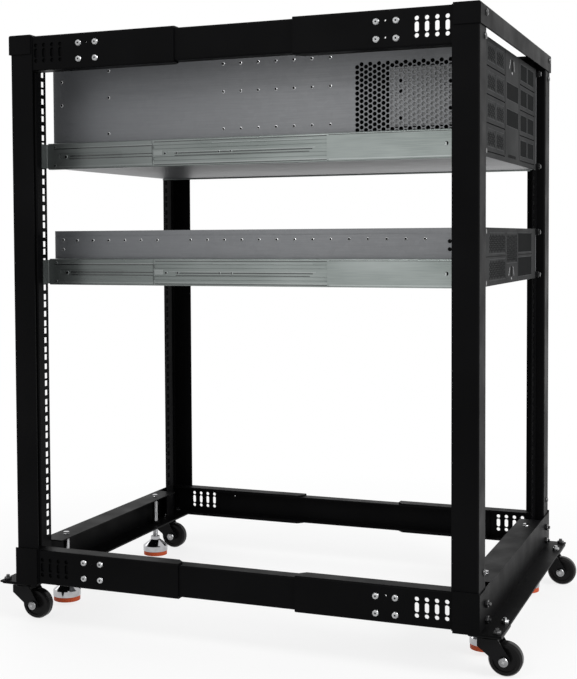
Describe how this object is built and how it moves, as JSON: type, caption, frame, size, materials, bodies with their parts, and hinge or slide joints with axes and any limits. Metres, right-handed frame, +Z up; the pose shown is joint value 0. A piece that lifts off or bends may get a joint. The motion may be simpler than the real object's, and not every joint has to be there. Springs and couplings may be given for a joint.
{
  "type": "four post open frame rack",
  "caption": "Open frame equipment rack on swivel casters and levelling feet, with telescoping side rails and slide mounted equipment housings.",
  "frame": {"origin": "on the floor, under the middle of the frame", "axes": "+Z up, the front of the rack faces -Y, +X across the rack"},
  "size_m": [0.604, 0.86, 0.966],
  "materials": {
    "frame_black": "satin black powder coat",
    "caster_steel": "zinc plated steel",
    "wheel_black": "glossy black",
    "foot_chrome": "polished",
    "pad_orange": "matte orange",
    "housing_zinc": "galvanised sheet",
    "bezel_dark": "satin dark grey",
    "slide_zinc": "zinc plated"
  },
  "bodies": {
    "frame": {"top_beam_front": "frame_black", "base_beam_front": "frame_black", "top_beam_rear": "frame_black", "base_beam_rear": "frame_black", "post_front_left": "frame_black", "caster_mount_front_left": "caster_steel", "post_front_right": "frame_black", "caster_mount_front_right": "caster_steel", "post_rear_left": "frame_black", "caster_mount_rear_left": "caster_steel", "post_rear_right": "frame_black", "caster_mount_rear_right": "caster_steel", "side_bar_upper_left": "frame_black", "side_sleeve_upper_front_left": "frame_black", "side_sleeve_upper_rear_left": "frame_black", "side_bar_upper_right": "frame_black", "side_sleeve_upper_front_right": "frame_black", "side_sleeve_upper_rear_right": "frame_black", "slide_outer_upper": "slide_zinc", "side_bar_lower_left": "frame_black", "side_sleeve_lower_front_left": "frame_black", "side_sleeve_lower_rear_left": "frame_black", "side_bar_lower_right": "frame_black", "side_sleeve_lower_front_right": "frame_black", "side_sleeve_lower_rear_right": "frame_black", "slide_outer_lower": "slide_zinc"},
    "fork_front_left": {"caster_fork_front_left": "caster_steel"},
    "wheel_front_left": {"wheel_front_left": "wheel_black"},
    "foot_front_left": {"foot_front_left": "foot_chrome", "foot_pad_front_left": "pad_orange"},
    "fork_front_right": {"caster_fork_front_right": "caster_steel"},
    "wheel_front_right": {"wheel_front_right": "wheel_black"},
    "foot_front_right": {"foot_front_right": "foot_chrome", "foot_pad_front_right": "pad_orange"},
    "fork_rear_left": {"caster_fork_rear_left": "caster_steel"},
    "wheel_rear_left": {"wheel_rear_left": "wheel_black"},
    "foot_rear_left": {"foot_rear_left": "foot_chrome", "foot_pad_rear_left": "pad_orange"},
    "fork_rear_right": {"caster_fork_rear_right": "caster_steel"},
    "wheel_rear_right": {"wheel_rear_right": "wheel_black"},
    "foot_rear_right": {"foot_rear_right": "foot_chrome", "foot_pad_rear_right": "pad_orange"},
    "housing_upper": {"chassis_upper": "housing_zinc", "bezel_upper": "bezel_dark", "slide_inner_upper": "slide_zinc", "vent_panel_left": "housing_zinc", "vent_panel_right": "housing_zinc"},
    "slide_middle_upper": {"slide_middle_upper": "slide_zinc"},
    "housing_lower": {"chassis_lower": "housing_zinc", "bezel_lower": "bezel_dark", "slide_inner_lower": "slide_zinc"},
    "slide_middle_lower": {"slide_middle_lower": "slide_zinc"}
  },
  "joints": [
    {"name": "swivel_front_left", "type": "hinge", "parent": "frame", "child": "fork_front_left", "pos_m": [-0.263, -0.393, 0.055], "axis": [0, 0, 1], "continuous": true},
    {"name": "wheel_spin_front_left", "type": "hinge", "parent": "fork_front_left", "child": "wheel_front_left", "pos_m": [-0.263, -0.417, 0.025], "axis": [1, 0, 0], "continuous": true},
    {"name": "foot_screw_front_left", "type": "slide", "parent": "frame", "child": "foot_front_left", "axis": [0, 0, 1], "range_m": [-0.017, 0.018]},
    {"name": "swivel_front_right", "type": "hinge", "parent": "frame", "child": "fork_front_right", "pos_m": [0.263, -0.393, 0.055], "axis": [0, 0, 1], "continuous": true},
    {"name": "wheel_spin_front_right", "type": "hinge", "parent": "fork_front_right", "child": "wheel_front_right", "pos_m": [0.263, -0.417, 0.025], "axis": [1, 0, 0], "continuous": true},
    {"name": "foot_screw_front_right", "type": "slide", "parent": "frame", "child": "foot_front_right", "axis": [0, 0, 1], "range_m": [-0.017, 0.018]},
    {"name": "swivel_rear_left", "type": "hinge", "parent": "frame", "child": "fork_rear_left", "pos_m": [-0.263, 0.393, 0.055], "axis": [0, 0, 1], "continuous": true},
    {"name": "wheel_spin_rear_left", "type": "hinge", "parent": "fork_rear_left", "child": "wheel_rear_left", "pos_m": [-0.263, 0.369, 0.025], "axis": [1, 0, 0], "continuous": true},
    {"name": "foot_screw_rear_left", "type": "slide", "parent": "frame", "child": "foot_rear_left", "axis": [0, 0, 1], "range_m": [-0.017, 0.018]},
    {"name": "swivel_rear_right", "type": "hinge", "parent": "frame", "child": "fork_rear_right", "pos_m": [0.263, 0.393, 0.055], "axis": [0, 0, 1], "continuous": true},
    {"name": "wheel_spin_rear_right", "type": "hinge", "parent": "fork_rear_right", "child": "wheel_rear_right", "pos_m": [0.263, 0.369, 0.025], "axis": [1, 0, 0], "continuous": true},
    {"name": "foot_screw_rear_right", "type": "slide", "parent": "frame", "child": "foot_rear_right", "axis": [0, 0, 1], "range_m": [-0.017, 0.018]},
    {"name": "housing_slide_upper", "type": "slide", "parent": "frame", "child": "housing_upper", "axis": [0, -1, 0], "range_m": [0, 0.6]},
    {"name": "middle_slide_upper", "type": "slide", "parent": "frame", "child": "slide_middle_upper", "axis": [0, -1, 0], "range_m": [0, 0.3]},
    {"name": "housing_slide_lower", "type": "slide", "parent": "frame", "child": "housing_lower", "axis": [0, -1, 0], "range_m": [0, 0.6]},
    {"name": "middle_slide_lower", "type": "slide", "parent": "frame", "child": "slide_middle_lower", "axis": [0, -1, 0], "range_m": [0, 0.3]}
  ],
  "couplings": [
    {"joint": "middle_slide_upper", "follows": "housing_slide_upper", "ratio": 0.5},
    {"joint": "middle_slide_lower", "follows": "housing_slide_lower", "ratio": 0.5}
  ]
}
